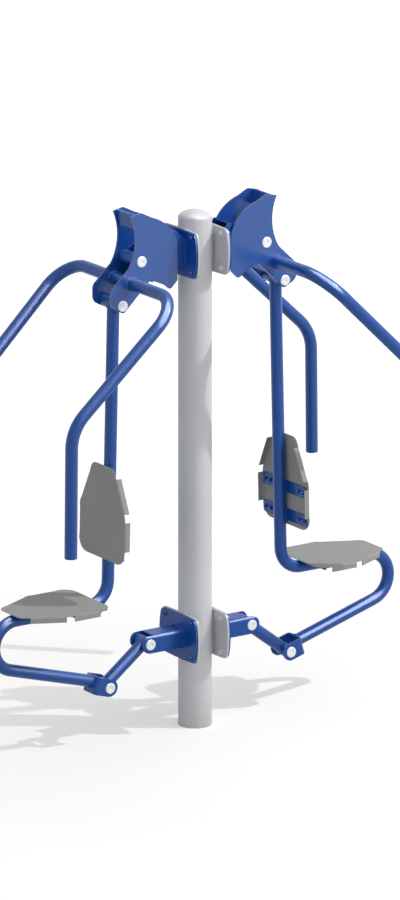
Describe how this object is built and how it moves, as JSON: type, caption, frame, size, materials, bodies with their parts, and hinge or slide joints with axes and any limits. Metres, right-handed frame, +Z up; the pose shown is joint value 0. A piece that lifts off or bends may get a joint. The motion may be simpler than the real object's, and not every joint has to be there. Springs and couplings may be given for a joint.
{
  "type": "outdoor double chest press",
  "caption": "Outdoor fitness machine: seated chest-press units on either side of a round post; pushing the bent handles swings a lever that lifts the hung seat.",
  "frame": {"origin": "centre of the post's foot at ground level", "axes": "+Z up along the post, +X towards the right-hand unit's seat, +Y across the seats"},
  "size_m": [1.6382, 0.7172, 1.8206],
  "materials": {
    "blue_paint": "gloss powder coat",
    "grey_paint": "satin powder coat",
    "pad_paint": "matte powder coat",
    "white_plastic": "semi-gloss",
    "zinc_steel": "zinc plated",
    "bush_nylon": "matte",
    "black_rubber": "matte",
    "plug_plastic": "matte"
  },
  "bodies": {
    "post": {"post_tube": "grey_paint", "post_cap": "grey_paint", "left_post_flanges": "grey_paint", "left_upper_bracket": "blue_paint", "left_lower_bracket": "blue_paint", "left_flange_bolts": "zinc_steel", "left_head_bushes": "bush_nylon", "left_rest_buffer": "black_rubber", "left_lower_axle": "zinc_steel", "left_lower_caps": "white_plastic", "right_post_flanges": "grey_paint", "right_upper_bracket": "blue_paint", "right_lower_bracket": "blue_paint", "right_flange_bolts": "zinc_steel", "right_head_bushes": "bush_nylon", "right_rest_buffer": "black_rubber", "right_lower_axle": "zinc_steel", "right_lower_caps": "white_plastic"},
    "left_lever": {"left_lever_plate_a": "blue_paint", "left_lever_plate_b": "blue_paint", "left_lever_end_plate": "blue_paint", "left_handlebar": "blue_paint", "left_handle_plugs": "plug_plastic", "left_head_axle": "zinc_steel", "left_hanger_axle": "zinc_steel", "left_lever_caps": "white_plastic"},
    "left_seat_frame": {"left_seat_tube": "blue_paint", "left_hanger_hub": "blue_paint", "left_hanger_bushes": "bush_nylon", "left_seat_clevis": "blue_paint", "left_pad_bars": "blue_paint", "left_pad_studs": "blue_paint", "left_seat": "pad_paint", "left_backrest": "pad_paint", "left_clevis_axle": "zinc_steel", "left_clevis_caps": "white_plastic"},
    "left_link_arm": {"left_link": "blue_paint", "left_link_bushes": "bush_nylon"},
    "right_lever": {"right_lever_plate_a": "blue_paint", "right_lever_plate_b": "blue_paint", "right_lever_end_plate": "blue_paint", "right_handlebar": "blue_paint", "right_handle_plugs": "plug_plastic", "right_head_axle": "zinc_steel", "right_hanger_axle": "zinc_steel", "right_lever_caps": "white_plastic"},
    "right_seat_frame": {"right_seat_tube": "blue_paint", "right_hanger_hub": "blue_paint", "right_hanger_bushes": "bush_nylon", "right_seat_clevis": "blue_paint", "right_pad_bars": "blue_paint", "right_pad_studs": "blue_paint", "right_seat": "pad_paint", "right_backrest": "pad_paint", "right_clevis_axle": "zinc_steel", "right_clevis_caps": "white_plastic"},
    "right_link_arm": {"right_link": "blue_paint", "right_link_bushes": "bush_nylon"}
  },
  "joints": [
    {"name": "left_press", "type": "hinge", "parent": "post", "child": "left_lever", "pos_m": [-0.249, 0, 1.6569], "axis": [0, 1, 0], "range_deg": [0, 35]},
    {"name": "left_hang", "type": "hinge", "parent": "left_lever", "child": "left_seat_frame", "pos_m": [-0.3236, 0, 1.5164], "axis": [0, 1, 0], "range_deg": [-36.6, 0]},
    {"name": "left_guide", "type": "hinge", "parent": "post", "child": "left_link_arm", "pos_m": [-0.2053, 0, 0.3244], "axis": [0, 1, 0], "range_deg": [0, 20.7]},
    {"name": "right_press", "type": "hinge", "parent": "post", "child": "right_lever", "pos_m": [0.249, 0, 1.6569], "axis": [0, -1, 0], "range_deg": [0, 35]},
    {"name": "right_hang", "type": "hinge", "parent": "right_lever", "child": "right_seat_frame", "pos_m": [0.3236, 0, 1.5164], "axis": [0, -1, 0], "range_deg": [-36.6, 0]},
    {"name": "right_guide", "type": "hinge", "parent": "post", "child": "right_link_arm", "pos_m": [0.2053, 0, 0.3244], "axis": [0, -1, 0], "range_deg": [0, 20.7]}
  ],
  "couplings": [
    {"joint": "left_hang", "follows": "left_press", "ratio": -1.044},
    {"joint": "left_guide", "follows": "left_press", "ratio": 0.5897},
    {"joint": "right_hang", "follows": "right_press", "ratio": -1.044},
    {"joint": "right_guide", "follows": "right_press", "ratio": 0.5897}
  ]
}
